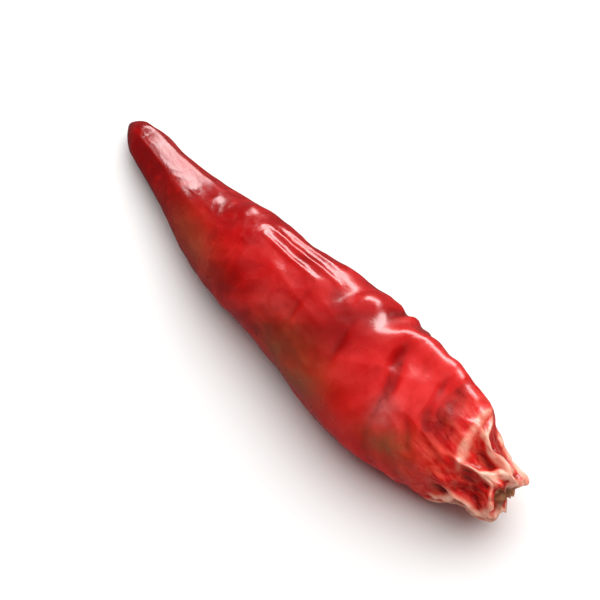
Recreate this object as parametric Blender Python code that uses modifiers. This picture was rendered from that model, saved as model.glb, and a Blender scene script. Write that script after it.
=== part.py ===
"""A dried red chilli pod, sold without its stem, lying on its side.

The pod is one grown piece.  It lies along X, with its tip at -X and its pinched stem end
at +X, and it rests on the table z = 0 on a part of its belly that has dried flat.
It is a coarse cage of rings, carried along a bowed middle line and rounded by a
Subdivision Surface, and a box takes the table's flat off its underside.
Everything is in metres, +Z is up.
"""

import bmesh
import bpy
import numpy as np

# ---- lengths along the pod ---------------------------------------------------------
POD_LENGTH = 0.0540            # tip to stem scar
NOSE_FROM_TIP = 0.0030         # where the rounded nose ends and the thin tip begins
NECK_FROM_TIP = 0.0105         # where the thin tip starts to widen into the body
WAIST_FROM_TIP = 0.0185        # the slim front part of the body
BELLY_FROM_STEM = 0.0175       # widest section
SHOULDER_FROM_STEM = 0.0105    # where the body starts to close towards the stem end
PINCH_FROM_STEM = 0.0040       # where the closing skin is drawn into a short stub

# ---- widths (Y) and heights (Z) of those sections ---------------------------------------
NOSE_WIDTH, NOSE_HEIGHT = 0.0040, 0.0035
NECK_WIDTH, NECK_HEIGHT = 0.0060, 0.0054
WAIST_WIDTH, WAIST_HEIGHT = 0.0092, 0.0082
BELLY_WIDTH, BELLY_HEIGHT = 0.0124, 0.0116
SHOULDER_WIDTH, SHOULDER_HEIGHT = 0.0117, 0.0110
PINCH_WIDTH, PINCH_HEIGHT = 0.0078, 0.0072
SCAR_WIDTH, SCAR_HEIGHT = 0.0044, 0.0040

# ---- the middle line -----------------------------------------------------------------
TIP_SWING = 0.0014             # sideways bend of the thin tip, towards +Y
STEM_SWING = 0.0004            # sideways bend of the stem end, towards +Y
TIP_LIFT = 0.0003              # underside of the thin tip above the table
NOSE_DROOP = 0.0007            # the tip's point below the middle of its nose
SCAR_LIFT = 0.0030             # underside of the stem scar above the table
BELLY_SINK = 0.0005            # how much of the belly the table takes flat

# ---- wrinkles at the stem end --------------------------------------------------------
PUCKERS = 7                    # ridges that run together at the scar
PUCKER_DEPTH = 0.0006          # ridge to hollow, half of it each way
SCAR_DISH = 0.0004             # how far the scar is sunk into the stub

# ---- how fine the cage is ----------------------------------------------------------
RING_POINTS = 2 * PUCKERS      # a point on each ridge and one in each hollow
RING_SPACING = 0.0065          # rings stand on every named section and about this far apart
NOSE_TURNS = (66, 40, 16)      # degrees round the nose's quarter ellipse, largest ring first
SCAR_SHARES = ((0.72, 0.0), (0.40, 1.0))   # size and depth of the rings inside the scar
ROUNDING_LEVELS = 2            # levels of the Subdivision Surface
CUTTER_MARGIN = 0.004          # how far the cutter runs past the pod

SKIN_COLOR = (0.50, 0.006, 0.004, 1.0)
SKIN_ROUGHNESS = 0.32


def clear_scene():
    """Removes every object that is in the file."""
    for leftover in list(bpy.data.objects):
        bpy.data.objects.remove(leftover, do_unlink=True)


def smooth_curve(knots, places):
    """Reads a curve through (place, value) knots that never swings past a knot.

    Each stretch is a cubic.  The slope at a knot is the harmonic mean of the slopes on
    either side, or zero where the values turn round.
    """
    at, value = np.array(sorted(knots)).T
    step = np.diff(at)
    rise = np.diff(value) / step
    slope = np.zeros(len(at))
    slope[0], slope[-1] = rise[0], rise[-1]
    same_way = rise[:-1] * rise[1:] > 0
    safe = np.where(same_way, rise[:-1] + rise[1:], 1.0)
    slope[1:-1] = np.where(same_way, 2 * rise[:-1] * rise[1:] / safe, 0.0)
    k = np.clip(np.searchsorted(at, places, side="right") - 1, 0, len(step) - 1)
    t = (places - at[k]) / step[k]
    return (value[k] * (1 + 2 * t) * (1 - t) ** 2 + slope[k] * step[k] * t * (1 - t) ** 2
            + value[k + 1] * t ** 2 * (3 - 2 * t) + slope[k + 1] * step[k] * t ** 2 * (t - 1))


def section_knots(nose, neck, waist, belly, shoulder, pinch, scar):
    """Pairs each named section's place along the pod with one of its values."""
    return [(NOSE_FROM_TIP, nose),
            (NECK_FROM_TIP, neck),
            (WAIST_FROM_TIP, waist),
            (POD_LENGTH - BELLY_FROM_STEM, belly),
            (POD_LENGTH - SHOULDER_FROM_STEM, shoulder),
            (POD_LENGTH - PINCH_FROM_STEM, pinch),
            (POD_LENGTH, scar)]


def half_width(s):
    """Half of the pod's width at distance s from the tip."""
    return smooth_curve(section_knots(NOSE_WIDTH, NECK_WIDTH, WAIST_WIDTH, BELLY_WIDTH,
                                      SHOULDER_WIDTH, PINCH_WIDTH, SCAR_WIDTH), s) / 2


def half_height(s):
    """Half of the pod's height at distance s from the tip."""
    return smooth_curve(section_knots(NOSE_HEIGHT, NECK_HEIGHT, WAIST_HEIGHT, BELLY_HEIGHT,
                                      SHOULDER_HEIGHT, PINCH_HEIGHT, SCAR_HEIGHT), s) / 2


def underside(s):
    """Height of the pod's lowest line above the table; below zero where it rests."""
    return smooth_curve(section_knots(TIP_LIFT, TIP_LIFT / 2, 0.0, -BELLY_SINK,
                                      -BELLY_SINK / 2, SCAR_LIFT / 3, SCAR_LIFT), s)


def middle_line(s):
    """Y and Z of the pod's middle line at distance s from the tip."""
    sideways = smooth_curve(section_knots(TIP_SWING, TIP_SWING / 4, 0.0, 0.0,
                                          0.0, STEM_SWING / 2, STEM_SWING), s)
    return sideways, underside(s) + half_height(s)


def pucker(s, angle):
    """Wrinkle height: waves round the stem end, growing from the shoulder to the pinch."""
    reach = (s - (POD_LENGTH - SHOULDER_FROM_STEM)) / (SHOULDER_FROM_STEM - PINCH_FROM_STEM)
    strength = np.clip(reach, 0.0, 1.0)
    return PUCKER_DEPTH / 2 * strength * np.cos(PUCKERS * angle)


def ring(s):
    """Cage points of the section at distance s, counter-clockwise seen from the stem end.

    The limit surface of a ring of n cage points lies inside it by (2 + cos(360/n)) / 3,
    so the ring is drawn larger by that share.
    """
    angle = np.arange(RING_POINTS) * 2 * np.pi / RING_POINTS
    outset = 3 / (2 + np.cos(2 * np.pi / RING_POINTS))
    y_mid, z_mid = middle_line(s)
    y = y_mid + (half_width(s) * outset + pucker(s, angle)) * np.cos(angle)
    z = z_mid + (half_height(s) * outset + pucker(s, angle)) * np.sin(angle)
    x = np.full(RING_POINTS, s)
    return np.column_stack([x, y, z])


def stations():
    """Distances from the tip at which the body has a ring."""
    named = [place for place, _ in section_knots(*range(7))]
    places = []
    for here, there in zip(named, named[1:]):
        count = max(1, round((there - here) / RING_SPACING))
        places.extend(np.linspace(here, there, count, endpoint=False))
    return places + [POD_LENGTH]


def nose_rings():
    """Three shrinking rings that close the tip, on a quarter ellipse that droops."""
    full = ring(NOSE_FROM_TIP)
    middle = full.mean(axis=0)
    rings = []
    for turn in np.radians(NOSE_TURNS):
        shrunk = middle + (full - middle) * np.sin(turn)
        shrunk[:, 0] = NOSE_FROM_TIP * (1 - np.cos(turn))
        shrunk[:, 2] -= NOSE_DROOP * np.cos(turn)
        rings.append(shrunk)
    return rings


def scar_rings():
    """Two rings inside the stem scar, sunk a little into the stub."""
    full = ring(POD_LENGTH)
    middle = full.mean(axis=0)
    rings = []
    for share, depth in SCAR_SHARES:
        shrunk = middle + (full - middle) * share
        shrunk[:, 0] -= SCAR_DISH * depth
        rings.append(shrunk)
    return rings


def cage_mesh():
    """Lofts the rings from tip to scar and closes each end on a single point."""
    rings = nose_rings()[::-1] + [ring(s) for s in stations()] + scar_rings()
    tip = rings[0].mean(axis=0)
    tip[0] = 0.0
    scar = rings[-1].mean(axis=0)

    bm = bmesh.new()
    loops = [[bm.verts.new(p) for p in points] for points in rings]
    for here, there in zip(loops, loops[1:]):
        for i in range(RING_POINTS):
            j = (i + 1) % RING_POINTS
            bm.faces.new((here[i], here[j], there[j], there[i]))
    for end, point in ((loops[0], tip), (loops[-1], scar)):
        pole = bm.verts.new(point)
        for i in range(RING_POINTS):
            bm.faces.new((end[i], end[(i + 1) % RING_POINTS], pole))
    bmesh.ops.recalc_face_normals(bm, faces=bm.faces)
    bm.faces.ensure_lookup_table()
    for face in bm.faces:
        face.smooth = True
    mesh = bpy.data.meshes.new("chilli_pod")
    bm.to_mesh(mesh)
    bm.free()
    return mesh


def evaluated_bounds(obj):
    """Lowest and highest corner of an object with its modifiers."""
    bpy.context.view_layer.update()
    seen = obj.evaluated_get(bpy.context.evaluated_depsgraph_get())
    points = np.array([seen.matrix_world @ v.co for v in seen.data.vertices])
    return points.min(axis=0), points.max(axis=0)


def add_to(collection_name, obj):
    """Links an object to a collection, made when it is first named."""
    collection = bpy.data.collections.get(collection_name)
    if collection is None:
        collection = bpy.data.collections.new(collection_name)
        bpy.context.scene.collection.children.link(collection)
    collection.objects.link(obj)


def skin_material():
    """Dried chilli skin: deep red, half glossy."""
    material = bpy.data.materials.new("dried_skin")
    material.use_nodes = True
    shader = material.node_tree.nodes["Principled BSDF"]
    shader.inputs["Base Color"].default_value = SKIN_COLOR
    shader.inputs["Roughness"].default_value = SKIN_ROUGHNESS
    shader.inputs["Metallic"].default_value = 0.0
    return material


def table_cutter():
    """A box whose top is the table z = 0, long and wide enough for the whole pod."""
    bm = bmesh.new()
    bmesh.ops.create_cube(bm, size=1.0)
    size = (POD_LENGTH + 2 * CUTTER_MARGIN, BELLY_WIDTH + 2 * CUTTER_MARGIN, CUTTER_MARGIN)
    bmesh.ops.scale(bm, verts=bm.verts, vec=size)
    bmesh.ops.translate(bm, verts=bm.verts, vec=(0.0, 0.0, -CUTTER_MARGIN / 2))
    mesh = bpy.data.meshes.new("table_cutter")
    bm.to_mesh(mesh)
    bm.free()
    cutter = bpy.data.objects.new("table_cutter", mesh)
    add_to("cutters", cutter)
    cutter.hide_render = True
    cutter.display_type = "WIRE"
    return cutter


def chilli_pod():
    """The whole pod, rounded, flattened underneath and centred over the origin."""
    pod = bpy.data.objects.new("chilli_pod", cage_mesh())
    add_to("dried_chilli", pod)
    pod.data.materials.append(skin_material())

    rounding = pod.modifiers.new("rounding", "SUBSURF")
    rounding.levels = ROUNDING_LEVELS
    rounding.render_levels = ROUNDING_LEVELS

    low, high = evaluated_bounds(pod)
    pod.location.x = -(low[0] + high[0]) / 2
    pod.location.y = -(low[1] + high[1]) / 2

    flat = pod.modifiers.new("table_flat", "BOOLEAN")
    flat.operation = "DIFFERENCE"
    flat.solver = "EXACT"
    flat.object = table_cutter()
    return pod


def main():
    """Makes the pod and prints its size."""
    clear_scene()
    pod = chilli_pod()
    low, high = evaluated_bounds(pod)
    print("pod, mm:", np.round((high - low) * 1000, 2), "lowest", np.round(low * 1000, 3))


main()
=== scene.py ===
# %% [markdown]
# # A dried red chilli pod
# The pod is one grown thing: a hollow fruit whose thick, wet wall has dried to a thin,
# glossy leather.  As it shrank, the skin sank in between the parts that could not shrink,
# so its surface is made of shallow hollows with narrow ridges between them.  The stalk has
# been pulled off, and there the skin is drawn together like the neck of a sack.
#
# It could be sculpted by hand, but a hand's strokes are hard to measure or to change later.
# Here the skin is one surface of two parameters, the place along the pod and the turn
# round it, and every wrinkle is a formula of those two.  The frame holds a plain solid of
# the right size, and all sizes are worked out from it.

import math

import bpy
import numpy as np
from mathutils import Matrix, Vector


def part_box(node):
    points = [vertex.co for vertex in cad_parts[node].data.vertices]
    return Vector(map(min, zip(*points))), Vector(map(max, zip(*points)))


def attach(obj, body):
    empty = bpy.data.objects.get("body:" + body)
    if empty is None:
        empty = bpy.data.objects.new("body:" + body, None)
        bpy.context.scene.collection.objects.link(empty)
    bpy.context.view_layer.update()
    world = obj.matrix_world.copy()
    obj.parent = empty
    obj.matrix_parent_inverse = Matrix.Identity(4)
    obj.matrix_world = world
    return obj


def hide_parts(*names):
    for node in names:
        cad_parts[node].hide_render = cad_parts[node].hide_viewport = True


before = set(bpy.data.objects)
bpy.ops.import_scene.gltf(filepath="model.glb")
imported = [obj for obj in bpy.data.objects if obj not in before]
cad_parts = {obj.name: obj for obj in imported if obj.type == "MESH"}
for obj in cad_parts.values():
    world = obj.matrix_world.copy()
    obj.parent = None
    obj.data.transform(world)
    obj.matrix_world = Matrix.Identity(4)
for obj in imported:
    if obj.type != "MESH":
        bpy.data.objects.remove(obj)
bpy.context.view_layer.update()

box_low, box_high = (np.array(corner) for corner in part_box("chilli_pod"))
LENGTH, WIDTH, HEIGHT = box_high - box_low
TIP_X = box_low[0]
MM = 0.001
LENGTH_MM = LENGTH / MM
print("the pod is", np.round((box_high - box_low) / MM, 1), "mm")

# %% [markdown]
# ## The body, before any wrinkle
# A fresh pod is thin at the tip, fullest two thirds of the way along and narrower again
# towards the stalk.  A stretched sphere would miss its slim neck and its blunt stem end.  A
# profile carried along a slightly bowed middle line gives both.  The thickness is given at
# a few places only, and a cubic through them does the rest.  The cubic runs through the
# squares of the thicknesses, because a square root makes a round nose by itself.

# %% A curve through a few knots
def smooth_curve(knots, places):
    """A cubic between each two (place, value) knots that never swings past a knot.

    The slope at a knot is the harmonic mean of the slopes on either side, or zero where the
    values turn round.
    """
    at, value = np.array(knots, float).T
    step = np.diff(at)
    rise = np.diff(value) / step
    slope = np.concatenate([rise[:1], np.zeros(len(rise) - 1), rise[-1:]])
    same_way = rise[:-1] * rise[1:] > 0
    safe = np.where(same_way, rise[:-1] + rise[1:], 1.0)
    slope[1:-1] = np.where(same_way, 2 * rise[:-1] * rise[1:] / safe, 0.0)
    k = np.clip(np.searchsorted(at, places, side="right") - 1, 0, len(step) - 1)
    t = (places - at[k]) / step[k]
    return (value[k] * (1 + 2 * t) * (1 - t) ** 2 + slope[k] * step[k] * t * (1 - t) ** 2
            + value[k + 1] * t ** 2 * (3 - 2 * t) + slope[k + 1] * step[k] * t ** 2 * (t - 1))


# %% Thickness along the pod
# place along the pod, width and height, each as a share of the whole pod's
SECTIONS = np.array([
    (0.000, 0.00, 0.00),
    (0.007, 0.08, 0.08),
    (0.018, 0.15, 0.16),
    (0.036, 0.24, 0.25),
    (0.066, 0.32, 0.32),
    (0.130, 0.39, 0.41),
    (0.205, 0.49, 0.50),
    (0.290, 0.62, 0.62),
    (0.360, 0.74, 0.75),
    (0.440, 0.79, 0.82),
    (0.550, 0.89, 0.93),
    (0.660, 1.00, 1.00),
    (0.765, 0.97, 0.98),
    (0.845, 0.82, 0.85),
    (0.920, 0.62, 0.65),
    (0.965, 0.47, 0.49),
    (1.000, 0.36, 0.38),
])


def half_width(place):
    """Half the pod's width at a place from 0, the tip, to 1, the stem scar."""
    squares = smooth_curve(np.column_stack([SECTIONS[:, 0], SECTIONS[:, 1] ** 2]), place)
    return np.sqrt(np.maximum(squares, 0.0)) * WIDTH / 2


def half_height(place):
    """Half the pod's height at a place from 0, the tip, to 1, the stem scar."""
    squares = smooth_curve(np.column_stack([SECTIONS[:, 0], SECTIONS[:, 2] ** 2]), place)
    return np.sqrt(np.maximum(squares, 0.0)) * HEIGHT / 2


neck, belly, scar_edge = half_width(np.array([0.2, 0.66, 1.0])) * 2 / MM
print("width at the neck, belly and scar", np.round([neck, belly, scar_edge], 1), "mm")

# %% The middle line
# the thin tip bends towards +Y and droops, and the stem end stands clear of the table
SWING = [(0.0, 1.75 * MM), (0.06, 1.15 * MM), (0.20, 0.2 * MM), (0.36, -0.35 * MM),
         (0.50, -0.2 * MM), (0.70, 0.0), (0.88, 0.5 * MM), (1.0, 1.1 * MM)]
UNDERSIDE = [(0.0, 0.9 * MM), (0.06, 0.35 * MM), (0.20, 0.15 * MM), (0.45, 0.0),
             (0.70, -0.25 * MM), (0.82, 0.1 * MM), (0.92, 1.3 * MM), (1.0, 3.3 * MM)]


def middle_line(place):
    """Y and Z of the middle line: the underside's height plus half of the section."""
    return smooth_curve(SWING, place), smooth_curve(UNDERSIDE, place) + half_height(place)


tip_y, tip_z = middle_line(np.array(0.0))
print("the tip is", round(float(tip_y) / MM, 2), "mm aside and", round(float(tip_z) / MM, 2), "mm up")

# %% [markdown]
# ## The grid
# A skin needs points to hang its wrinkles on.  A subdivided cage could give them, but it is
# hard to say where on the pod one of its points is.  On a grid of rings each point has its
# place along the pod and its turn round it.  Rings evenly spaced in x would stretch the
# nose and miss the scar, so they are spaced evenly along the outline itself: down the pod,
# round the edge of the scar and in to its middle.

# %% Rings spaced along the outline
RINGS = 400
SPOKES = 240
OUTLINE_STEPS = 4000           # the outline is measured this finely before it is shared out
NOSE_CROWDING = 1.6            # above 1, those steps crowd towards the tip
SCAR_DISH = 0.7 * MM
EDGE_PASSES = 14               # averaging the rings rounds the scar's edge by about 0.4 mm


def outline():
    """Place along the pod and shrink factor of each ring, evenly spaced on the outline.

    The shrink factor is 1 down the whole body and falls to 0 across the scar.
    """
    scar_steps = OUTLINE_STEPS // 8
    place = np.concatenate([np.linspace(0, 1, OUTLINE_STEPS) ** NOSE_CROWDING, np.ones(scar_steps)])
    shrink = np.concatenate([np.ones(OUTLINE_STEPS), np.linspace(1, 0, scar_steps)])
    radius = half_width(place) * shrink
    x = place * LENGTH
    run = np.concatenate([[0], np.cumsum(np.hypot(np.diff(x), np.diff(radius)))])
    even = np.linspace(0, run[-1], RINGS)
    place = np.interp(even, run, place)
    shrink = np.interp(even, run, shrink)
    for _ in range(EDGE_PASSES):
        place[1:-1] = (place[:-2] + 2 * place[1:-1] + place[2:]) / 4
        shrink[1:-1] = (shrink[:-2] + 2 * shrink[1:-1] + shrink[2:]) / 4
    return place, shrink


place, shrink = outline()
turn = np.arange(SPOKES) / SPOKES
PLACE, TURN = np.meshgrid(place, turn, indexing="ij")
SHRINK = shrink[:, None] * np.ones_like(TURN)
ANGLE = TURN * 2 * np.pi       # 0 points along +Y and a quarter turn points up
S_MM = PLACE * LENGTH / MM     # distance from the tip
RADIUS_MM = np.maximum(half_width(PLACE), 1 * MM) / MM
print("grid", PLACE.shape, "ring spacing", round(LENGTH_MM / RINGS, 3), "mm")

# %% [markdown]
# ## Tools for wrinkles
# Dried skin shows three kinds of relief: soft random hills, hollows with sharp ridges
# between them, and single dents or ridges where this pod has them.  Blender's own noise
# textures could displace the skin, but they are laid out in space and know nothing of
# along and round.  These tools work on the grid, so a wrinkle can follow the pod, join up
# behind it and stretch as the real ones do.  Each random field has its own seed, so
# changing one leaves the others alone.

# %% A smooth step, and angles and arcs on the skin
def ramp(value, start, end):
    """0 before start, 1 after end, and a smooth S between them."""
    t = np.clip((value - start) / (end - start), 0.0, 1.0)
    return t * t * (3 - 2 * t)


def around_gap(degrees):
    """Angle from a direction, in degrees, the short way round."""
    return (np.degrees(ANGLE) - degrees + 180) % 360 - 180


def arc_from(degrees):
    """Distance round the skin from a direction, in mm: the angle times the local radius."""
    return np.radians(around_gap(degrees)) * RADIUS_MM


print("half way round the belly is", round(float(np.abs(arc_from(0)).max()), 1), "mm")

# %% Random hills and foil
LATTICE_REACH = 1.4            # the lattice is this many pods long, for points that are bent
LATTICE_START = 3              # cells before the tip
LATTICE_SPARE = 8              # cells more than the reach needs
HILL_GAIN = 2.2                # blending 16 corners flattens the hills, and this raises them


def lattice(cell_mm, cells_round, seed):
    """One random value from -1 to 1 for each corner of the cells along and round the pod."""
    rng = np.random.default_rng(seed)
    rows = int(LENGTH_MM * LATTICE_REACH / cell_mm) + LATTICE_SPARE
    return rng.uniform(-1, 1, (rows, cells_round))


def corner(values, row, column):
    """Lattice values at whole rows, held at both ends, and columns, joined up all round."""
    rows, columns = values.shape
    return values[np.clip(row, 0, rows - 1), column % columns]


def spline_weights(t):
    """Weights of the four corners round a point in a cubic B-spline, t from 0 to 1."""
    return ((1 - t) ** 3 / 6, (3 * t ** 3 - 6 * t ** 2 + 4) / 6,
            (-3 * t ** 3 + 3 * t ** 2 + 3 * t + 1) / 6, t ** 3 / 6)


def hills(along, turns, cell_mm, cells_round, seed):
    """Random hills of about -1 to 1 that join up round the pod.

    A cubic B-spline blends the 4 x 4 lattice corners round each point.  along is in mm and
    turns is 0 to 1 round the pod; cell_mm and cells_round say how large a cell is.
    """
    values = lattice(cell_mm, cells_round, seed)
    u = along / cell_mm + LATTICE_START
    v = turns * cells_round
    u0, v0 = np.floor(u).astype(int), np.floor(v).astype(int)
    total = np.zeros_like(along)
    for i, wu in enumerate(spline_weights(u - u0)):
        for j, wv in enumerate(spline_weights(v - v0)):
            total += wu * wv * corner(values, u0 + i - 1, v0 + j - 1)
    return total * HILL_GAIN


def facets(along, turns, cell_mm, cells_round, seed):
    """Random flat triangles of about -1 to 1 that meet in straight creases, like foil.

    The same lattice as for hills, but each cell is cut into two triangles and the height is
    a plane through the three corners.
    """
    values = lattice(cell_mm, cells_round, seed)
    u = along / cell_mm + LATTICE_START
    v = turns * cells_round
    u0, v0 = np.floor(u).astype(int), np.floor(v).astype(int)
    fu, fv = u - u0, v - v0
    here, ahead = corner(values, u0, v0), corner(values, u0 + 1, v0)
    beside, across = corner(values, u0, v0 + 1), corner(values, u0 + 1, v0 + 1)
    near = here * (1 - fu - fv) + ahead * fu + beside * fv
    far = across * (fu + fv - 1) + ahead * (1 - fv) + beside * (1 - fu)
    return np.where(fu + fv < 1, near, far)


print("5 mm hills run from", np.round(np.percentile(hills(S_MM, TURN, 5.0, 7, 1), (1, 99)), 2))

# %% Softening and creasing a field
def softened(field, strides=(1, 2, 4)):
    """A field averaged with its neighbours, at wider and wider strides."""
    for stride in strides:
        field = (np.roll(field, stride, 1) + 2 * field + np.roll(field, -stride, 1)) / 4
        framed = np.pad(field, ((stride, stride), (0, 0)), mode="edge")
        field = (framed[:-2 * stride] + 2 * field + framed[2 * stride:]) / 4
    return field


def creases(field, softness):
    """Ridges where a hill field passes through zero, hollows elsewhere, from -1 to 1.

    It is 1 less twice the field's size, and the softness rounds the ridge's top.
    """
    return 1 - 2 * np.sqrt(field ** 2 + softness ** 2) + 2 * softness


print("a ridge's top is at", creases(np.array(0.0), 0.16), "and its foot at",
      round(float(creases(np.array(1.0), 0.16)), 2))

# %% Single hills and ridges
WANDER = (1.8, 12, 61)         # cell in mm, cells round and seed of the hills that bend a streak


def spot(s_mm, degrees, length_mm, arc_mm):
    """A soft round hill of height 1 at a place, with its length and its arc in mm."""
    return np.exp(-((S_MM - s_mm) / (length_mm / 2)) ** 2 - (arc_from(degrees) / (arc_mm / 2)) ** 2)


def streak(points, arc_mm, ends_mm=1.5, wander_mm=0.0):
    """A long narrow hill of height 1 that follows (mm from the tip, degrees) points.

    It falls off as a bell across its line, fades over ends_mm at both ends, and random
    hills move it to and fro along the pod by up to wander_mm.
    """
    s, degrees = np.array(points, float).T
    at = S_MM + wander_mm * hills(S_MM, TURN, *WANDER)
    inside = ramp(at, s[0] - ends_mm, s[0] + ends_mm)
    inside *= 1 - ramp(at, s[-1] - ends_mm, s[-1] + ends_mm)
    return inside * np.exp(-(arc_from(np.interp(at, s, degrees)) / (arc_mm / 2)) ** 2)


print("a 3 mm spot covers", round(float((spot(30, 90, 3, 3) > 0.5).mean()) * 100, 2), "% of the grid")

# %% [markdown]
# ## The section's shape
# A chilli in cross-section is never a circle.  Three ribs inside hold it out, and the wall
# between them has sunk, so the section is a soft, slowly twisting triangle.  The thin tip
# and the shoulder have collapsed further, into flat facets, and a flat facet is what
# shines as one long patch.  Waves in the radius can't make a flat, so each facet is a
# plane that cuts the section off.

# %% The body surface
# direction in degrees, depth as a share of the radius, start and end as shares of the length
FACETS = ((79, 0.85, 0.035, 0.33), (16, 0.91, 0.01, 0.22), (132, 0.90, 0.04, 0.25),
          (205, 0.89, 0.04, 0.30), (300, 0.87, 0.03, 0.28), (83, 0.88, 0.70, 0.92))
FACET_SHARPNESS = 26.0         # how tightly the skin turns at a facet's edge
SETS_IN = 0.03                 # a facet deepens over this share of the length, either side
RUNS_OUT, RUNS_PAST = 0.12, 0.04     # it ends from this share before its end to that past it
OUT_OF_THE_WAY = 2.0           # a facet this far out cuts nothing
STEEPEST = 0.05                # least cosine, which keeps a plane's far side from turning back


def facet_limit():
    """How far out the facets let the skin go, as a share of the radius.

    A facet's plane stands at depth / cos(angle from its direction).  It sets in quickly
    and runs out slowly, and no point lies further out than the nearest plane.
    """
    limit = np.ones_like(ANGLE) * OUT_OF_THE_WAY
    for degrees, depth, start, end in FACETS:
        fade = ramp(PLACE, start - SETS_IN, start + SETS_IN)
        fade = fade * (1 - ramp(PLACE, end - RUNS_OUT, end + RUNS_PAST))
        slope = np.maximum(np.cos(np.radians(around_gap(degrees))), STEEPEST)
        limit = np.minimum(limit, (1 + (depth - 1) * fade) / slope + 0.5 * (1 - fade))
    return limit


def body_surface():
    """Points of the body: an ellipse on the middle line, with lobes and flat facets.

    The lobes are cosines of three, two and five waves round the pod.  The radius and the
    facets' limit are joined by a soft minimum, the log of the sum of their exponentials.
    """
    rib = 20 + 32 * PLACE
    lobes = (0.042 * np.cos(3 * (ANGLE - np.radians(rib)))
             + 0.026 * np.cos(2 * (ANGLE - np.radians(rib - 15)))
             + 0.010 * np.cos(5 * (ANGLE - np.radians(20 + 90 * PLACE))))
    scale = 1 + lobes * ramp(PLACE, 0.10, 0.45) * (1 - 0.6 * ramp(PLACE, 0.85, 1.0))
    both = np.exp(-FACET_SHARPNESS * scale) + np.exp(-FACET_SHARPNESS * facet_limit())
    scale = -np.log(both) / FACET_SHARPNESS

    y_mid, z_mid = middle_line(PLACE)
    y = y_mid + half_width(PLACE) * SHRINK * scale * np.cos(ANGLE)
    z = z_mid + half_height(PLACE) * SHRINK * scale * np.sin(ANGLE)
    x = TIP_X + PLACE * LENGTH - SCAR_DISH * (1 - SHRINK ** 2)
    return np.stack([x, y, z], axis=-1)


def outward(points):
    """Unit normals of a grid that joins up round the pod, by central differences."""
    along = np.gradient(points, axis=0)
    around = (np.roll(points, -1, axis=1) - np.roll(points, 1, axis=1)) / 2
    normal = np.cross(around, along)
    length = np.linalg.norm(normal, axis=-1, keepdims=True)
    normal = normal / np.maximum(length, 1e-12)
    normal[0] = (-1.0, 0.0, 0.0)
    normal[-1] = (1.0, 0.0, 0.0)
    return normal


body = body_surface()
normals = outward(body)
print("body spans", np.round(np.ptp(body.reshape(-1, 3), axis=0) / MM, 2), "mm")


# %% [markdown]
# ## The wrinkles of the body
# Drying leaves wrinkles of every size.  The wall sinks in broad panels between folds; the
# skin over them then creases like foil, in small flat planes with soft edges, and crinkles
# finely where it has shrunk most.  One noise would give all sizes the same look.  Here
# each size is its own field, with cells of its own real size, and slow hills bend them all
# so that none runs straight.

# %% Hollows, folds and small wrinkles
FACE_UP = 110                  # direction of the smoother side, which lies uppermost


def body_relief():
    """Heights in mm, outwards, of the body's large folds and of its small wrinkles.

    Each is a sum of fields, times its height in mm, times where it shows: base is 1 at the
    stem end, patchy changes from place to place, and the tip is the smoothest part.
    """
    bend_s = S_MM + 2.0 * hills(S_MM, TURN, 6.0, 5, 11)
    bend_t = TURN + 0.05 * hills(S_MM, TURN, 7.0, 5, 12)
    slant = np.sin(2 * np.pi * (bend_t - 0.3)) / (2 * np.pi)
    base = ramp(PLACE, 0.72, 0.90)
    patchy = 0.5 + 0.5 * hills(S_MM, TURN, 9.0, 4, 26)
    rough_side = 0.45 + 0.55 * ramp(np.abs(around_gap(FACE_UP)), 80, 130)

    panels = hills(bend_s, bend_t, 5.5, 7, 21)
    folds = creases(hills(bend_s, bend_t, 7.5, 9, 22), 0.16)
    cross = creases(hills(bend_s, bend_t, 2.4, 6, 23), 0.16)
    large = 0.20 * panels + 0.15 * folds * (0.6 + 0.4 * base)
    large += 0.13 * cross * rough_side * np.clip(patchy + 0.3, 0.2, 1.2) * (1 - 0.5 * base)

    foil = softened(facets(bend_s + 12 * slant, bend_t, 2.6, 11, 31), (1, 2))
    small_foil = softened(facets(bend_s - 9 * slant, bend_t, 1.1, 26, 32), (1,))
    long = creases(hills(bend_s + 25 * slant, bend_t, 4.6, 24, 28), 0.12)
    crinkle = creases(hills(bend_s, bend_t, 1.2, 20, 24), 0.14)
    fine = creases(hills(bend_s, bend_t, 0.7, 44, 27), 0.14)
    small = 0.17 * foil * (0.35 + 0.65 * patchy)
    small += 0.045 * small_foil * np.clip(1.1 - patchy + 0.4 * base, 0.2, 1.2)
    small += 0.10 * long * np.clip(1.1 - patchy + 0.5 * base, 0.15, 1.2)
    small += 0.05 * crinkle * np.clip(patchy - 0.1 + 0.6 * base, 0.35, 1.2)
    small += 0.035 * fine * np.clip(patchy * 0.8 + base - 0.1, 0.35, 1.2)

    tip = 0.42 * ramp(PLACE, 0.0, 0.10) + 0.58 * ramp(PLACE, 0.15, 0.36)
    return large * tip, small * tip * (0.55 + 0.45 * ramp(PLACE, 0.16, 0.30))


large, small = body_relief()
print("large folds span", round(float(np.ptp(large)), 2), "mm, small ones",
      round(float(np.ptp(small)), 2), "mm")

# %% [markdown]
# ## The drawn-in stem end
# Round the scar the wall was thickest.  It has dried to hard pale ridges that run towards
# the scar, with panels of thin skin sunk deep between them.  Ridges placed one by one would
# have to be fitted to each other by hand.  A cell pattern does that by itself: where three
# panels meet, so do their ridges, as in the real skin.

# %% Ridges between sunken panels
STEM_SEED = 5
# distance from the scar in mm, number of panels, first one's angle, share of the radius
ROWS = ((8.6, 6, 50, 1.0), (3.2, 6, 22, 1.0), (0.2, 2, 115, 0.45))
PANEL_STRETCH = np.array([0.42, 1.0, 1.0])     # lengths along the pod count less
MOVE_MM = 1.2                  # a centre moves at most this far along the pod
MOVE_ROUND = 0.16              # and this share of a panel's width round it
WANDER_MM = 0.55
QUIVER_MM = 0.2
RIDGE_MM = 0.42
RIDGE_ROUNDING_MM = 0.10
PANEL_EDGE_MM = 0.9


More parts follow.
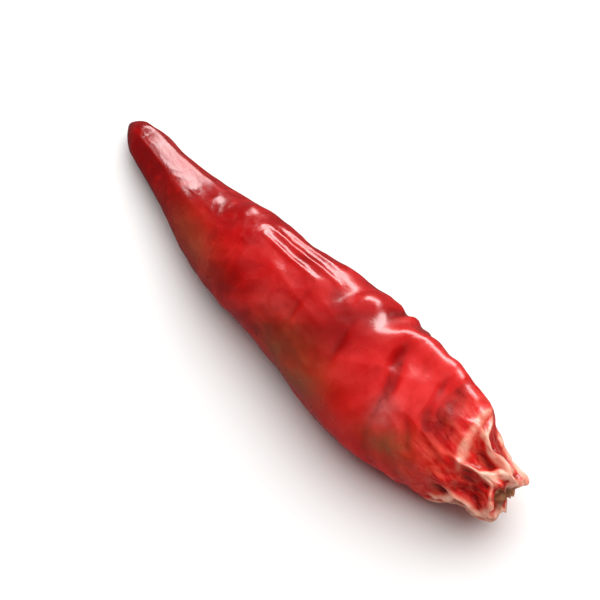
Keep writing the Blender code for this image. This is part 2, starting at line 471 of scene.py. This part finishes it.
def panel_centres():
    """Centres of the panels in mm: rows of points on the pod's ellipse, moved at random."""
    rng = np.random.default_rng(STEM_SEED)
    centres = []
    for from_stem, count, first, share in ROWS:
        for k in range(count):
            s = 1 - (from_stem + rng.uniform(-1, 1) * min(MOVE_MM, from_stem / 3)) * MM / LENGTH
            angle = np.radians(first + (k + rng.uniform(-MOVE_ROUND, MOVE_ROUND)) * 360 / count)
            y_mid, z_mid = middle_line(np.array(s))
            centres.append((TIP_X + s * LENGTH,
                            y_mid + half_width(np.array(s)) * share * np.cos(angle),
                            z_mid + half_height(np.array(s)) * share * np.sin(angle)))
    return np.array(centres) / MM


def stem_panels(points):
    """How much of a ridge and how much of a sunken panel each point is, from 0 to 1.

    A point belongs to the nearest centre; how much further off the second nearest is, says
    how far the point is from the ridge between the two.  The points are first shifted by
    random hills, so the ridges wander.
    """
    shift = np.stack([hills(S_MM, TURN, 1.6, 9, 30 + axis) for axis in range(3)], axis=-1)
    fine = np.stack([hills(S_MM, TURN, 0.8, 20, 40 + axis) for axis in range(3)], axis=-1)
    moved = (points / MM + WANDER_MM * shift + QUIVER_MM * fine).reshape(-1, 3) * PANEL_STRETCH
    apart = np.linalg.norm(moved[:, None, :] - (panel_centres() * PANEL_STRETCH)[None], axis=-1)
    apart.sort(axis=1)
    gap = np.hypot(apart[:, 1] - apart[:, 0], RIDGE_ROUNDING_MM).reshape(PLACE.shape)
    gap -= RIDGE_ROUNDING_MM
    uneven = np.clip(0.75 + 0.6 * hills(S_MM, TURN, 2.5, 8, 35), 0.15, 1.3)
    return np.exp(-(gap / RIDGE_MM) ** 2) * uneven, 1 - np.exp(-gap / PANEL_EDGE_MM)


ridge, sunk = stem_panels(body)
print("ridges cover", round(float((ridge[PLACE > 0.9] > 0.5).mean()) * 100, 1), "% of the stem end")

# %% Height of the stem end
# how far the drawn-in skin reaches, with an uneven edge
stem_reach = ramp(S_MM + 1.3 * hills(S_MM, TURN, 3.0, 7, 36), LENGTH_MM - 8.0, LENGTH_MM - 3.6)
# one ridge runs across the others and closes the panel that faces up
closing = streak([(47.0, 36), (48.7, 90), (50.4, 124)], 2.6, 0.7, 0.45)
closing *= np.clip(0.85 + 0.35 * hills(S_MM, TURN, 1.6, 10, 63), 0.55, 1.1)


def stem_relief():
    """Height in mm of the stem end: ridges up, panels down, and pleats and knots on both."""
    sway = TURN + 0.03 * hills(S_MM, TURN, 2.0, 9, 38)
    pleats = creases(hills(S_MM, sway, 2.6, 36, 37), 0.12)
    knots = creases(hills(S_MM, sway, 0.7, 30, 39), 0.12)
    drawn = stem_reach * (0.36 * ridge - 0.78 * sunk + 0.07 * pleats + 0.035 * knots)
    return drawn + 0.34 * closing - 0.20 * spot(50.6, 80, 2.6, 2.6)


stem = stem_relief()
print("the stem end spans", round(float(np.ptp(stem)), 2), "mm in height")

# %% [markdown]
# ## This pod's own marks
# Some wrinkles are this pod's alone: three thin parallel ridges on the neck, a step with
# hollows on the upper flank, and a curved ridge over the shoulder.  They catch the light
# first, so they are placed one by one and not left to chance.

# %% Single ridges and dents
NECK_RIDGES = ((0, 21.5, 28.0), (13, 21.0, 29.5), (26, 21.5, 27.5))    # degrees, start, end


def own_marks():
    """Single ridges and dents in mm, at their places from the tip and round the pod."""
    marks = np.zeros_like(S_MM)
    # a groove and a ridge on the tip, and a knob behind its facet
    marks -= 0.16 * streak([(3.5, 32), (8, 36), (15, 38)], 0.8)
    marks += 0.22 * streak([(3.0, 14), (4.5, 18), (6.5, 22)], 0.9)
    marks += 0.26 * spot(17.4, 52, 1.9, 1.6)
    for offset, start, end in NECK_RIDGES:
        marks += 0.17 * streak([(start, 50 + offset), (end, 52 + offset)], 0.6)
    # a swelling over the neck, then the step: hollow, knob, hollow
    marks += 0.26 * streak([(25.5, 46), (33.0, 47)], 3.6, 2.5)
    marks -= 0.22 * spot(31.0, 60, 2.2, 4.5)
    marks += 0.26 * spot(33.4, 56, 2.4, 3.0)
    marks -= 0.24 * spot(36.0, 60, 2.6, 5.0)
    # the curved ridge over the shoulder, and its thin crest
    marks += 0.42 * streak([(36.4, 66), (38.2, 50), (40.5, 43), (46.5, 42)], 3.2)
    marks += 0.13 * streak([(39.0, 57), (41.0, 53), (46.5, 53)], 1.3)
    return marks


marks = own_marks()
print("own marks run from", round(float(marks.min()), 2), "to", round(float(marks.max()), 2), "mm")

# %% [markdown]
# ## Slack and taut skin
# Across the belly the skin hangs in slanting waves: taut, clear red backs with slack, dark hollows
# between them.  They are too soft to be folds and too regular to be plain noise, so they are hills
# with short cells along the pod, sheared so that they lean.  The same field colours them later on:
# the taut backs are lightened with painted sheen and the slack hollows are darkened with painted
# shade.

# %% The swells
HOLLOWS = (([(39.0, 76), (41.4, 118)], 1.1), ([(43.6, 62), (46.8, 106)], 1.1),
           ([(28.4, 104), (29.8, 146)], 0.9), ([(33.6, 92), (35.2, 122)], 0.7))
BACKS = ((43.0, 92, 3.2), (36.6, 132, 2.0), (26.8, 98, 2.6), (31.6, 112, 2.2))


def belly_swells():
    """Waves of slack and taut skin from -1.2 to 1.2: leaning hills, with this pod's own.

    The lean is a shift along the pod by the sine of the turn, one way towards the tip and
    the other way towards the shoulder.
    """
    lean = 4.5 - 8.0 * ramp(S_MM, 33, 40)
    leaning = S_MM + lean * np.sin(ANGLE - np.radians(FACE_UP))
    swells = hills(leaning + 1.3 * hills(S_MM, TURN, 3.5, 8, 51),
                   TURN + 0.03 * hills(S_MM, TURN, 3.0, 8, 53), 1.2, 11, 52)
    swells *= ramp(PLACE, 0.25, 0.50) * (1 - stem_reach) * np.clip(
        0.85 + 0.6 * hills(S_MM, TURN, 6.0, 5, 54), 0.2, 1.3)
    for line, depth in HOLLOWS:
        swells -= depth * streak(line, 2.4, 1.0)
    for s_mm, degrees, size in BACKS:
        swells += 0.8 * spot(s_mm, degrees, size, size * 1.3)
    return np.clip(swells, -1.2, 1.2)


swells = belly_swells()
print("slack skin", round(float((swells < -0.3).mean()), 2), "taut skin",
      round(float((swells > 0.3).mean()), 2), "of the pod")

# %% [markdown]
# ## The finished skin
# All the heights are added up and the skin is pushed out along its normals.  Pushing it
# out from the middle line instead would tilt the wrinkles where the pod narrows.  The
# normals are softened first, so that neighbouring points don't cross in a deep panel.  A
# pod lies on its belly, so its weight has flattened it a little: heights below the table
# are folded up to just above it.

# %% The skin
SWELL_MM = 0.14
FLAT_Z = 0.04 * MM
FLAT_SOFTNESS = 0.10 * MM

relief = large * (1 - 0.75 * stem_reach) + small * (1 + 0.4 * stem_reach) + SWELL_MM * swells
relief += stem + marks
lift = np.stack([softened(normals[..., axis]) for axis in range(3)], axis=-1)
lift /= np.linalg.norm(lift, axis=-1, keepdims=True)
# the scar's middle is one point, so the relief fades out just before it
skin = body + lift * (relief * MM)[..., None] * np.minimum(SHRINK * 3, 1)[..., None]
# a soft maximum: the log of 1 plus the exponential of the height
skin[..., 2] = FLAT_Z + FLAT_SOFTNESS * np.logaddexp(0.0, (skin[..., 2] - FLAT_Z) / FLAT_SOFTNESS)
print("skin spans", np.round(np.ptp(skin.reshape(-1, 3), axis=0) / MM, 2), "mm")

# %% Crests and creases
# where the skin stands above or below its own average; crests get painted sheen and creases painted
# shade
crest = relief - softened(relief)
crest = crest / np.percentile(np.abs(crest), 98)
print("crests cover", round(float((crest > 0.3).mean()), 3), "of the skin")

# %% [markdown]
# ## From grid to mesh
# Blender could fill the grid through from_pydata, one list entry per face.  With a hundred
# thousand faces foreach_set is much faster, because it copies whole arrays.  A pod is
# closed, so both ends of the grid run into a single point.  The values that colour the
# skin go along as attributes: they belong to the points, so they can't slide.

# %% A grid becomes a closed mesh
def closed_mesh(name, grid, layers):
    """Mesh of a ring grid, closed by one point at each end; layers are point values.

    Each face of the grid takes a point, its neighbour round the ring and the same two on
    the next ring.  The first and the last ring shrink to their mean, joined by triangles.
    """
    rings, spokes, _ = grid.shape
    inner = grid[1:-1]
    poles = np.array([grid[0].mean(axis=0), grid[-1].mean(axis=0)])
    points = np.concatenate([inner.reshape(-1, 3), poles])
    index = np.arange((rings - 2) * spokes).reshape(rings - 2, spokes)
    beside = np.roll(index, -1, axis=1)
    quads = np.stack([index[:-1], beside[:-1], beside[1:], index[1:]], axis=-1).reshape(-1, 4)
    first, last = len(points) - 2, len(points) - 1
    tip_fan = np.stack([np.full(spokes, first), beside[0], index[0]], axis=-1)
    scar_fan = np.stack([index[-1], beside[-1], np.full(spokes, last)], axis=-1)
    corners = np.concatenate([quads.ravel(), tip_fan.ravel(), scar_fan.ravel()])
    sizes = np.concatenate([np.full(len(quads), 4), np.full(2 * spokes, 3)])
    starts = np.concatenate([[0], np.cumsum(sizes)[:-1]])

    mesh = bpy.data.meshes.new(name)
    mesh.vertices.add(len(points))
    mesh.vertices.foreach_set("co", points.astype(np.float32).ravel())
    mesh.loops.add(len(corners))
    mesh.loops.foreach_set("vertex_index", corners.astype(np.int32))
    mesh.polygons.add(len(sizes))
    mesh.polygons.foreach_set("loop_start", starts.astype(np.int32))
    mesh.polygons.foreach_set("use_smooth", np.ones(len(sizes), bool))
    mesh.update(calc_edges=True)
    for layer, values in layers.items():
        inside = values[1:-1].ravel()
        ends = [values[0].mean(), values[-1].mean()]
        attribute = mesh.attributes.new(layer, "FLOAT", "POINT")
        attribute.data.foreach_set("value", np.concatenate([inside, ends]).astype(np.float32))
    mesh.validate()
    return mesh


# %% The pod and what is known of each point
layers = {
    "ridge": np.maximum(ridge * stem_reach, 0.68 * closing),
    "stem_end": ramp(S_MM, LENGTH_MM - 11, LENGTH_MM - 4),
    "relief": relief,
    "crest": crest,
    "swell": swells,
    # painted reflection: brown patches low on the flank stand for the brown-red pods that a glossy
    # pod would mirror
    "brown_reflection": spot(32.3, 158, 9, 6) + spot(44.6, 152, 6, 4) + 0.6 * spot(16, 150, 9, 4),
    # painted pink sheen: a soft pale patch low on the belly, and a faint one nearer the tip
    "pink_sheen": spot(42.0, 126, 2.6, 3.4) + 0.25 * spot(26.5, 128, 4, 3),
    "scar": 1 - ramp(SHRINK, 0.35, 0.85),
}
mesh = closed_mesh("pod_skin", skin, layers)
pod = bpy.data.objects.new("pod_skin", mesh)
bpy.context.scene.collection.objects.link(pod)
print("pod_skin has", len(mesh.polygons), "faces")

# %% [markdown]
# ## Colours and nodes
# A material is a small graph of nodes.  It could be clicked together in the shader editor,
# but written down it can be read, and repeated rows can become a loop.  Colours are given
# as the hex values that a colour picker shows and turned to the linear ones that light
# adds up in.

# %% One colour, one node
def colour(hex_code):
    """Linear RGBA of an sRGB hex colour: the standard's straight foot and 2.4 power."""
    parts = np.array([int(hex_code[i:i + 2], 16) for i in (1, 3, 5)]) / 255
    linear = np.where(parts <= 0.04045, parts / 12.92, ((parts + 0.055) / 1.055) ** 2.4)
    return (*linear, 1.0)


def node(tree, kind, output, settings=None, **inputs):
    """Adds a node, sets its properties, fills or links its inputs, and returns one output.

    An input goes by its label, with _ for a space, or by _ and its number.
    """
    made = tree.nodes.new(kind)
    for key, value in (settings or {}).items():
        setattr(made, key, value)
    for key, value in inputs.items():
        socket = made.inputs[int(key[1:]) if key[0] == "_" else key.replace("_", " ")]
        if isinstance(value, bpy.types.NodeSocket):
            tree.links.new(value, socket)
        else:
            socket.default_value = value
    return made.outputs[output]


print("chilli red in linear light is", np.round(colour("#9A0203")[:3], 3))

# %% [markdown]
# ## Dried chilli skin
# The finish is the skin's own: a fruit wall that dried in the sun under a thin natural wax.
# To the eye it is a deep, clear red under an uneven satin gloss.  It is orange-red where the wax has
# worn off, and pale straw on the sharp ridges of the stem end, where no red flesh is left.  On top of
# that, light and shade are painted in: painted sheen on the taut skin, the small crests and the straw
# ridge tops, painted shade in the sunken panels, the slack hollows and the creases, and a painted
# pink sheen and painted brown reflections low on the flank.  A painted texture could show all that,
# but it would have to be painted again for every change of shape.
# These colours follow the same fields that shape the skin, with noise of real sizes to
# break them up.

# %% Dried skin: its patterns
PER_MM = 1000.0                # Object coordinates are in metres, so a scale is per metre
BLOTCH_MM = 5.0                # patches of thicker and thinner skin
FLECK_MM = 1.3                 # clumps of cells that dried apart
FIBRE_MM = 0.6                 # strands of the wall, drawn coarser than the real 0.2 mm to show
PORE_MM = 0.25                 # grain of the wax, drawn coarser than the real 0.05 mm to show
STRAND_STRETCH = (0.3, 1.0, 1.0)

skin_material = bpy.data.materials.new("dried_skin")
skin_material.use_nodes = True
tree = skin_material.node_tree
shader = tree.nodes["Principled BSDF"]

here = node(tree, "ShaderNodeTexCoord", "Object")
stretched = node(tree, "ShaderNodeVectorMath", "Vector", {"operation": "MULTIPLY"}, _0=here,
                 _1=STRAND_STRETCH)
field = {"along": node(tree, "ShaderNodeSeparateXYZ", "X", Vector=here)}
for name in layers:
    field[name] = node(tree, "ShaderNodeAttribute", "Fac", {"attribute_name": name})

# where it is read, size in mm, detail, roughness, distortion
noises = {
    "blotches": (here, BLOTCH_MM, 3, 0.55, 0.4),
    "flecks": (here, FLECK_MM, 4, 0.55, 0.2),
    "fibres": (stretched, FIBRE_MM, 3, 0.60, 0.3),
    "pores": (here, PORE_MM, 2, 0.50, 0.0),
}
for name, (at, size_mm, detail, roughness, distortion) in noises.items():
    field[name] = node(tree, "ShaderNodeTexNoise", "Fac", Vector=at, Scale=PER_MM / size_mm,
                       Detail=detail, Roughness=roughness, Distortion=distortion)
print("the skin has", len(field), "fields")

# %% Dried skin: where each colour shows
# a smooth step of a field: its start and end, and its height before and after
steps = {
    "bright patch": ("blotches", 0.35, 0.65, 0.0, 1.0),
    "near the tip": ("along", -2 * MM, -22 * MM, 0.0, 1.0),
    "near the stem": ("along", 3 * MM, 17 * MM, 0.0, 1.0),
    "fleck": ("flecks", 0.50, 0.72, 0.0, 1.0),
    "sunken": ("relief", -0.10, -0.6, 0.0, 1.0),
    "taut": ("swell", 0.05, 0.7, 0.0, 1.0),
    "taut fleck": ("flecks", 0.35, 0.6, 0.2, 0.6),
    "taut shoulder": ("along", 10 * MM, 18 * MM, 0.4, 1.6),
    "slack": ("swell", -0.05, -0.7, 0.0, 1.0),
    "slack fleck": ("flecks", 0.60, 0.35, 0.4, 0.95),
    "brown reflection patch": ("blotches", 0.35, 0.6, 0.45, 1.0),
    "pink sheen fleck": ("flecks", 0.3, 0.6, 0.25, 0.65),
    "frayed": ("fibres", 0.40, 0.66, 0.0, 1.0),
    "crest": ("crest", 0.1, 1.2, 0.0, 1.0),
    "crease": ("crest", -0.1, -1.2, 0.0, 1.0),
    "ridge": ("ridge", 0.15, 0.70, 0.0, 1.0),
    "ridge top": ("ridge", 0.30, 0.85, 0.0, 1.0),
    "ridge strand": ("fibres", 0.34, 0.58, 0.35, 1.0),
    "driest ridge": ("ridge", 0.6, 1.0, 0.0, 1.0),
    "dry fleck": ("flecks", 0.56, 0.66, 0.0, 1.0),
    "wood grain": ("flecks", 0.40, 0.62, 0.0, 1.0),
    "gloss": ("blotches", 0.30, 0.70, 0.20, 0.33),
    "drawn strand": ("stem_end", 0.0, 1.0, 0.5, 3.0),
}
step = {}
for name, (source, start, end, before, after) in steps.items():
    step[name] = node(tree, "ShaderNodeMapRange", "Result", {"interpolation_type": "SMOOTHSTEP"},
                      Value=field[source], From_Min=start, From_Max=end, To_Min=before,
                      To_Max=after)

TIMES = {"operation": "MULTIPLY"}
worn = node(tree, "ShaderNodeMath", "Value", TIMES, _0=step["frayed"], _1=field["stem_end"])
pale = node(tree, "ShaderNodeMath", "Value", TIMES, _0=step["ridge top"], _1=step["ridge strand"])
print("the skin has", len(step), "steps")

# %% Dried skin: its coats of colour
MIX = {"data_type": "RGBA"}
MIXED = 2                      # a colour mix has its result on this output
wood = node(tree, "ShaderNodeMix", MIXED, MIX, _0=step["wood grain"], _6=colour("#6B3A22"),
            _7=colour("#C48A5E"))
# each coat covers those before it: its colour, its strength, and where it shows
coats = [
    (colour("#C00405"), 1.00, [step["bright patch"]]),
    (colour("#6E0505"), 0.60, [step["near the tip"]]),
    (colour("#D41210"), 0.75, [step["near the stem"]]),
    (colour("#C80C0A"), 0.40, [step["fleck"]]),
    # painted shade: the sunken panels and hollows of the relief are darkened
    (colour("#6A0202"), 0.60, [step["sunken"]]),
    # painted sheen: the taut backs are lightened, more so towards the shoulder
    (colour("#DE2C2A"), 1.00, [step["taut"], step["taut fleck"], step["taut shoulder"]]),
    # painted shade: the slack hollows between them are darkened
    (colour("#860101"), 1.00, [step["slack"], step["slack fleck"]]),
    # painted reflection: brown patches low on the flank
    (colour("#8A4A2C"), 1.00, [field["brown_reflection"], step["brown reflection patch"]]),
    # painted sheen: a soft pinkish patch low on the belly
    (colour("#C06460"), 1.00, [field["pink_sheen"], step["pink sheen fleck"]]),
    (colour("#E0503C"), 0.70, [worn]),
    # painted sheen on the small crests
    (colour("#D01A18"), 0.55, [step["crest"]]),
    # painted shade in the creases
    (colour("#5A0101"), 0.65, [step["crease"]]),
    (colour("#E2604A"), 0.60, [step["ridge"]]),
    # straw colour of the dried ridge tops, made paler still as a painted highlight
    (colour("#F8C0A6"), 0.90, [pale]),
    (colour("#A8643C"), 0.70, [step["driest ridge"], step["dry fleck"]]),
    (wood, 0.85, [field["scar"]]),
]
red = colour("#9A0203")
for tint, strength, places in coats:
    cover = strength
    for shows in places:
        cover = node(tree, "ShaderNodeMath", "Value", TIMES, _0=cover, _1=shows)
    red = node(tree, "ShaderNodeMix", MIXED, MIX, _0=cover, _6=red, _7=tint)
tree.links.new(red, shader.inputs["Base Color"])
print("the skin has", len(coats), "coats of colour")

# %% Dried skin: gloss, depth and grain
# wax is glossy at a roughness of about 0.2, and bare strands and straw are matt
MATT_ROUGHNESS = 0.20
matt = node(tree, "ShaderNodeMath", "Value", {"operation": "MAXIMUM"}, _0=worn, _1=pale)
rough = node(tree, "ShaderNodeMath", "Value", {"operation": "MULTIPLY_ADD"}, _0=matt,
             _1=MATT_ROUGHNESS, _2=step["gloss"])
tree.links.new(rough, shader.inputs["Roughness"])

# the flesh keeps Blender's usual IOR with a weaker gloss, under a thin, slightly sharper wax;
# light goes a little way into the skin and comes out red
finish = {
    "Specular IOR Level": 0.26,
    "Coat Weight": 0.22,
    "Coat Roughness": 0.18,
    "Subsurface Weight": 0.12,
    "Subsurface Radius": (1.0, 0.15, 0.1),
    "Subsurface Scale": 0.8 * MM,
}
for name, value in finish.items():
    shader.inputs[name].default_value = value

# grain that is too fine for the grid: pores all over, and strands where the skin is drawn in
strands = node(tree, "ShaderNodeMath", "Value", TIMES, _0=field["fibres"],
               _1=step["drawn strand"])
grain = node(tree, "ShaderNodeMath", "Value", {"operation": "ADD"}, _0=strands,
             _1=field["pores"])
bump = node(tree, "ShaderNodeBump", "Normal", Height=grain, Strength=0.35, Distance=0.06 * MM)
tree.links.new(bump, shader.inputs["Normal"])
mesh.materials.append(skin_material)
print("the skin's material has", len(tree.nodes), "nodes")

# %% The pod takes the plain solid's place
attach(pod, "root")
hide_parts("chilli_pod")
print("pod_skin stands for chilli_pod")

# %% [markdown]
# ## The table
# The pod lies on a plain white table of matt painted board.  It is far larger than the
# view, so its edge never shows.  A white table so close to a glossy skin would mirror in it
# and turn its lower side grey, so the gloss is told to pass it over.  The soft light that
# the table throws back on the pod's colour stays.

# %% White table
TABLE_SIZE = 6.0
BOARD_ROUGHNESS = 0.6          # matt paint

bpy.ops.mesh.primitive_plane_add(size=TABLE_SIZE)
table = bpy.context.object
table.name = "table"
paint = bpy.data.materials.new("white_table")
paint.use_nodes = True
paint.node_tree.nodes["Principled BSDF"].inputs["Base Color"].default_value = colour("#F4F3F1")
paint.node_tree.nodes["Principled BSDF"].inputs["Roughness"].default_value = BOARD_ROUGHNESS
table.data.materials.append(paint)
table.visible_glossy = False
print("the table is", TABLE_SIZE, "m wide")

# %% [markdown]
# ## Light and camera
# In a daylight studio one light does two things at once: it lights the colour and it
# mirrors in the gloss.  Here the two are split, so each can be placed by itself.  A wide
# ceiling gives the soft light, a low window gives the long bright gloss on the tip and
# along the neck, and a faint high window gives a little of both.  The camera looks down at
# the pod from beside its belly, through a long lens, so near and far ends keep their sizes.

# %% Softboxes
def toward(azimuth, elevation):
    """Unit vector from the pod to a place seen at that azimuth and elevation.

    Azimuth 0 is the -Y side and 90 the +X side, as a camera looking from there names it.
    """
    a, e = math.radians(azimuth), math.radians(elevation)
    return Vector((math.sin(a) * math.cos(e), -math.cos(a) * math.cos(e), math.sin(e)))


centre = Vector(((box_low[0] + box_high[0]) / 2, (box_low[1] + box_high[1]) / 2, HEIGHT / 2))


def softbox(name, azimuth, elevation, distance, width, height, power, mirrored, soft_light):
    """A rectangular area light that faces the pod.

    mirrored says if gloss shows it, and soft_light if it lights the colour beneath.
    """
    lamp = bpy.data.lights.new(name, "AREA")
    lamp.shape = "RECTANGLE"
    lamp.size = width
    lamp.size_y = height
    lamp.energy = power
    holder = bpy.data.objects.new(name, lamp)
    direction = toward(azimuth, elevation)
    holder.location = centre + direction * distance
    holder.rotation_euler = direction.to_track_quat("Z", "Y").to_euler()
    holder.visible_glossy = mirrored
    holder.visible_diffuse = soft_light
    bpy.context.scene.collection.objects.link(holder)
    print(name, "light of", power, "W at", distance, "m")


softbox("window", 204, 26, 0.9, 0.90, 0.34, 16.5, True, False)
softbox("high window", 226, 55, 1.6, 1.3, 0.6, 1.1, True, True)
softbox("ceiling", 200, 68, 1.6, 3.0, 3.0, 70.0, False, True)

# %% The room
ROOM_LIGHT = 0.10

world = bpy.data.worlds.new("room")
world.use_nodes = True
world.node_tree.nodes["Background"].inputs["Color"].default_value = colour("#F2F4F8")
world.node_tree.nodes["Background"].inputs["Strength"].default_value = ROOM_LIGHT
bpy.context.scene.world = world
bpy.context.scene.view_settings.view_transform = "Standard"
print("the room is lit at", ROOM_LIGHT)

# %% The camera
VIEW_AZIMUTH, VIEW_ELEVATION = 50, 60
POD_IN_FRAME = 0.92            # share of the frame's width that the pod's length would span
SEEN_SHARE = 0.924             # share of the length that isn't foreshortened from this angle

camera_data = bpy.data.cameras.new("camera")
camera_data.sensor_width = 36.0
camera_data.lens = 220.0
camera = bpy.data.objects.new("camera", camera_data)
direction = toward(VIEW_AZIMUTH, VIEW_ELEVATION)
seen_length = LENGTH * SEEN_SHARE
distance = seen_length / POD_IN_FRAME * camera_data.lens / camera_data.sensor_width
camera.location = centre + direction * distance
camera.rotation_euler = direction.to_track_quat("Z", "Y").to_euler()
bpy.context.scene.collection.objects.link(camera)
bpy.context.scene.camera = camera
print("the camera is", round(distance, 3), "m away")
